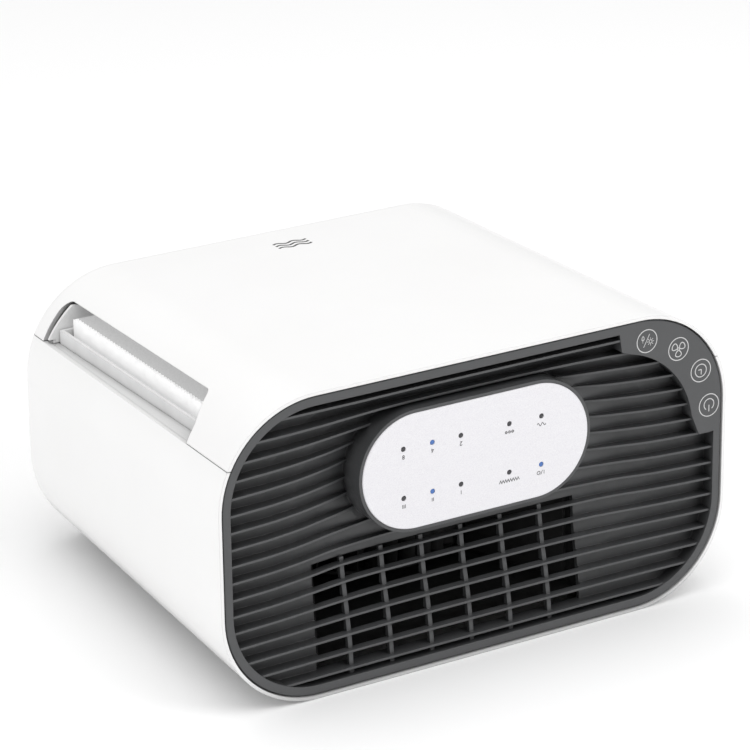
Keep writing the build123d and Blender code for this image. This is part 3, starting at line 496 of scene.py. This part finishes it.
def display_marks(shape):
    """Hour digits, speed bars and generic symbols under the lenses, read from the base end."""
    line = 0.32

    def draw(points, x, z, closed=False):
        stroke(shape, turned(points, (x, z)), line, closed=closed)

    top, low = LED_Z[0] - LABEL_DROP, LED_Z[1] - LABEL_DROP
    for x, hours in ((LED_X[0], 8), (LED_X[1], 4), (LED_X[2], 2)):
        if hours == 8:
            draw(arc((0, 0.5), 0.48, count=16), x, top, True)
            draw(arc((0, -0.5), 0.52, count=16), x, top, True)
        else:
            draw(DIGITS[hours], x, top)
    for x, bars in ((LED_X[0], 3), (LED_X[1], 2), (LED_X[2], 1)):
        for k in range(bars):
            offset = (k - (bars - 1) / 2) * 0.75
            draw([(offset, -1.0), (offset, 1.0)], x, low)
    # ion drops, a wave, a folded filter, and on / off
    for offset in (-1.9, 0, 1.9):
        draw(arc((offset, 0), 0.62, count=16), LED_X[3], top, True)
        draw([(offset - 0.3, 0), (offset + 0.3, 0)], LED_X[3], top)
    draw([(k * 0.2 - 2.6, 0.75 * sin(k * 0.2 * 2.4)) for k in range(27)], LED_X[4], top)
    draw([(k * 0.75 - 6.0, -0.8 if k % 2 else 0.8) for k in range(17)], LED_X[3], low)
    draw([(-1.7, -1.0), (-1.7, 1.0)], LED_X[4], low)
    draw([(-0.7, -1.1), (0.3, 1.1)], LED_X[4], low)
    draw(arc((1.6, 0), 0.9, count=20), LED_X[4], low, True)


add_piece("display_symbols", display_marks, moulded("print_dark_grey", 0.04, 0.5), "housing")

COVER_MARK = (5.0, 199.0)


def cover_mark(shape):
    """Three wavy lines, as a generic sign for air."""
    length, steps, line = 20, 40, 1.3
    across, along = COVER_MARK
    for row in (-3.4, 0, 3.4):
        wave = [(across + length * (k / steps - 0.5), along + row + sin(k * 0.315))
                for k in range(steps + 1)]
        stroke(shape, wave, line, on_cover)


add_piece("cover_air_mark", cover_mark, moulded("print_charcoal", 0.05, 0.45), "cover")

LENS = 1.35
LENS_BACK = 9.0
LENS_PROFILE = ((0.4, 0.62), (0.8, 0.66), (1.07, 0.74), (1.26, 0.88), (LENS, 1.1), (LENS, LENS_BACK))


def lenses(spots):
    def make(shape):
        for x, z in spots:
            turns = 24
            tip = shape.verts.new((x, 0.6, z))
            rings = []
            for radius, depth in LENS_PROFILE:
                rings.append([
                    shape.verts.new((across, depth, along))
                    for across, along in arc((x, z), radius, count=turns)
                ])
            for k in range(turns):
                shape.faces.new((tip, rings[0][k], rings[0][(k + 1) % turns]))
            for near, far in zip(rings, rings[1:]):
                for k in range(turns):
                    shape.faces.new((near[k], far[k], far[(k + 1) % turns], near[(k + 1) % turns]))
            shape.faces.new(rings[-1])
    return make


LIT = ((LED_X[1], LED_Z[0]), (LED_X[1], LED_Z[1]), (LED_X[4], LED_Z[1]))
DARK = tuple((x, z) for x in LED_X for z in LED_Z if (x, z) not in LIT)
add_piece("lenses_lit", lenses(LIT), lens_finish("lens_lit_blue", (0.07, 0.17, 0.46), 0.1),
          "housing", True)
dark_lenses = add_piece("lenses_dark", lenses(DARK), lens_finish("lens_dark", (0.05, 0.05, 0.055), 0),
                        "housing", True)
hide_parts("led_light_pipes")


# ---------------------------------------------------------------- studio
FLOOR_REACH = 14         # half the floor's width
FLOOR_DROP = 0.0001      # the floor lies this far under the body
LIGHTS = (
    # name, place, aim, size, power
    ("key_above", (-0.3, -0.1, 2.2), (0, 0, 0.1), (2.4, 2.4), 23.5),
    ("fill_left", (-2.2, -0.4, 0.7), (0, 0, 0.08), (1.6, 1.2), 8),
    ("edge_strip", (1.3, -1.6, 1.75), (0, 0, 0.08), (1.4, 0.3), 17),
)
WORLD_LIGHT = 0.66


def make_floor():
    shape = bmesh.new()
    bmesh.ops.create_grid(shape, x_segments=2, y_segments=2, size=FLOOR_REACH)
    mesh = bpy.data.meshes.new("floor")
    shape.to_mesh(mesh)
    shape.free()
    floor = bpy.data.objects.new("floor", mesh)
    bpy.context.scene.collection.objects.link(floor)
    finish = Finish("floor_white", grey(0.96), 0.9, specular=0.1)
    finish.tint(finish.noise(900, 2), grey(0.95))
    mesh.materials.append(finish.material)
    floor.location.z = cad_box[0].z - FLOOR_DROP


def make_light(name, place, aim, size, power):
    data = bpy.data.lights.new(name, "AREA")
    data.shape = "RECTANGLE"
    data.size, data.size_y = size
    data.energy = power
    lamp = bpy.data.objects.new(name, data)
    lamp.location = place
    lamp.rotation_mode = "QUATERNION"
    lamp.rotation_quaternion = (Vector(aim) - Vector(place)).to_track_quat("-Z", "Y")
    bpy.context.scene.collection.objects.link(lamp)


make_floor()
for light in LIGHTS:
    make_light(*light)
world = bpy.data.worlds.new("studio")
world.use_nodes = True
world.node_tree.nodes["Background"].inputs["Color"].default_value = (1, 1, 1, 1)
world.node_tree.nodes["Background"].inputs["Strength"].default_value = WORLD_LIGHT
bpy.context.scene.world = world
bpy.context.scene.view_settings.view_transform = "Standard"
